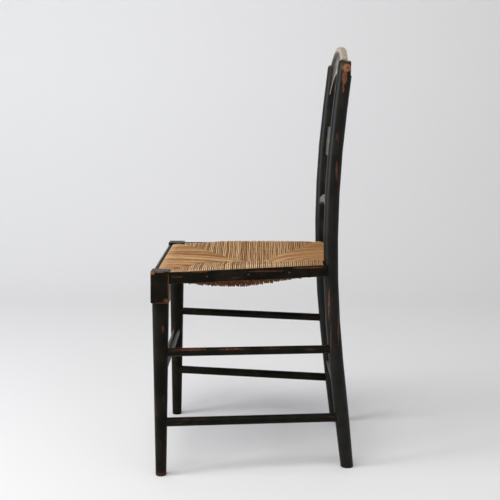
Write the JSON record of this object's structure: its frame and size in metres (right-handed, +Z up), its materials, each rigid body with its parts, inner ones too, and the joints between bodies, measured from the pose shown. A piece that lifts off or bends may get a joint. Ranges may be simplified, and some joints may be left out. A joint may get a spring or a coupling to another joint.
{
  "type": "side chair",
  "caption": "Painted wooden side chair with bent round back posts, an arched crest rail, turned tapering front legs with square blocks, round stretchers and a woven rush seat.",
  "frame": {"origin": "on the floor, at the middle of the chair's footprint", "axes": "+Z up, -Y towards the front of the seat, +X towards the sitter's left"},
  "size_m": [0.4454, 0.4175, 0.8801],
  "materials": {
    "black_paint": "black paint with a soft gloss, worn brown at the edges",
    "bare_wood": "bare hardwood",
    "rush": "twisted rush cord, golden tan",
    "nail_iron": "dark iron"
  },
  "bodies": {
    "root": {"left_front_leg": "black_paint", "right_front_leg": "black_paint", "left_back_post": "black_paint", "right_back_post": "black_paint", "crest_rail": "black_paint", "crest_plugs": "bare_wood", "middle_slat": "black_paint", "lower_back_rail": "black_paint", "left_upper_stretcher": "black_paint", "left_lower_stretcher": "black_paint", "right_upper_stretcher": "black_paint", "right_lower_stretcher": "black_paint", "front_stretcher": "black_paint", "back_stretcher": "black_paint", "front_edge_strip": "black_paint", "left_edge_strip": "black_paint", "right_edge_strip": "black_paint", "front_seat_rail": "bare_wood", "back_seat_rail": "bare_wood", "left_seat_rail": "bare_wood", "right_seat_rail": "bare_wood", "rush_seat": "rush", "edge_strip_nails": "nail_iron"}
  },
  "joints": []
}
